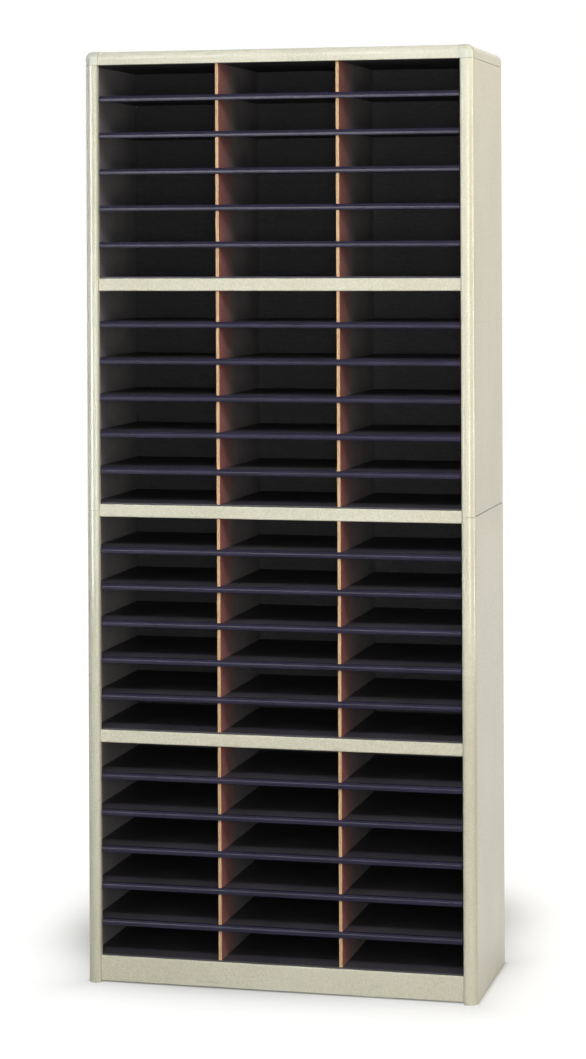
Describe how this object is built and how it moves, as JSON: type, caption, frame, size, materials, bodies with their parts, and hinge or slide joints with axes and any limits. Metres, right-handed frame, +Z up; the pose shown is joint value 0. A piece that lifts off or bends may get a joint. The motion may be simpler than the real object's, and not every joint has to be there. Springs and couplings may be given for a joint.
{
  "type": "mail sorter",
  "caption": "Tall open-fronted steel case with rounded front edges, divided by dark hardboard shelves and dividers into letter-size pigeonholes for sorting papers.",
  "frame": {"origin": "on the floor, under the centre of the case's width and depth", "axes": "+Z up, +X to the right for someone facing the open front, -Y out of the open front"},
  "size_m": [0.8064, 0.343, 1.905],
  "materials": {
    "sand_paint": "satin",
    "cap_plastic": "satin",
    "shelf_board": "smooth, satin",
    "divider_board": "smooth, satin",
    "liner_board": "smooth, satin",
    "back_board": "matt",
    "moulding": "satin",
    "screw_steel": "plated"
  },
  "bodies": {
    "root": {"lower_left_side_panel": "sand_paint", "lower_right_side_panel": "sand_paint", "upper_left_side_panel": "sand_paint", "upper_right_side_panel": "sand_paint", "top_pan": "sand_paint", "base_steel_shelf": "sand_paint", "lower_steel_shelf": "sand_paint", "joining_steel_shelf": "sand_paint", "upper_steel_shelf": "sand_paint", "left_corner_cap": "cap_plastic", "right_corner_cap": "cap_plastic", "lower_back_board": "back_board", "upper_back_board": "back_board", "dividers_section_1": "divider_board", "dividers_section_2": "divider_board", "dividers_section_3": "divider_board", "dividers_section_4": "divider_board", "shelf_board_1_1": "shelf_board", "shelf_moulding_1_1": "moulding", "shelf_board_1_2": "shelf_board", "shelf_moulding_1_2": "moulding", "shelf_board_1_3": "shelf_board", "shelf_moulding_1_3": "moulding", "shelf_board_1_4": "shelf_board", "shelf_moulding_1_4": "moulding", "shelf_board_1_5": "shelf_board", "shelf_moulding_1_5": "moulding", "shelf_board_2_1": "shelf_board", "shelf_moulding_2_1": "moulding", "shelf_board_2_2": "shelf_board", "shelf_moulding_2_2": "moulding", "shelf_board_2_3": "shelf_board", "shelf_moulding_2_3": "moulding", "shelf_board_2_4": "shelf_board", "shelf_moulding_2_4": "moulding", "shelf_board_2_5": "shelf_board", "shelf_moulding_2_5": "moulding", "shelf_board_3_1": "shelf_board", "shelf_moulding_3_1": "moulding", "shelf_board_3_2": "shelf_board", "shelf_moulding_3_2": "moulding", "shelf_board_3_3": "shelf_board", "shelf_moulding_3_3": "moulding", "shelf_board_3_4": "shelf_board", "shelf_moulding_3_4": "moulding", "shelf_board_3_5": "shelf_board", "shelf_moulding_3_5": "moulding", "shelf_board_4_1": "shelf_board", "shelf_moulding_4_1": "moulding", "shelf_board_4_2": "shelf_board", "shelf_moulding_4_2": "moulding", "shelf_board_4_3": "shelf_board", "shelf_moulding_4_3": "moulding", "shelf_board_4_4": "shelf_board", "shelf_moulding_4_4": "moulding", "shelf_board_4_5": "shelf_board", "shelf_moulding_4_5": "moulding", "side_liners": "liner_board", "floor_and_ceiling_boards": "shelf_board", "back_screws": "screw_steel"}
  },
  "joints": []
}
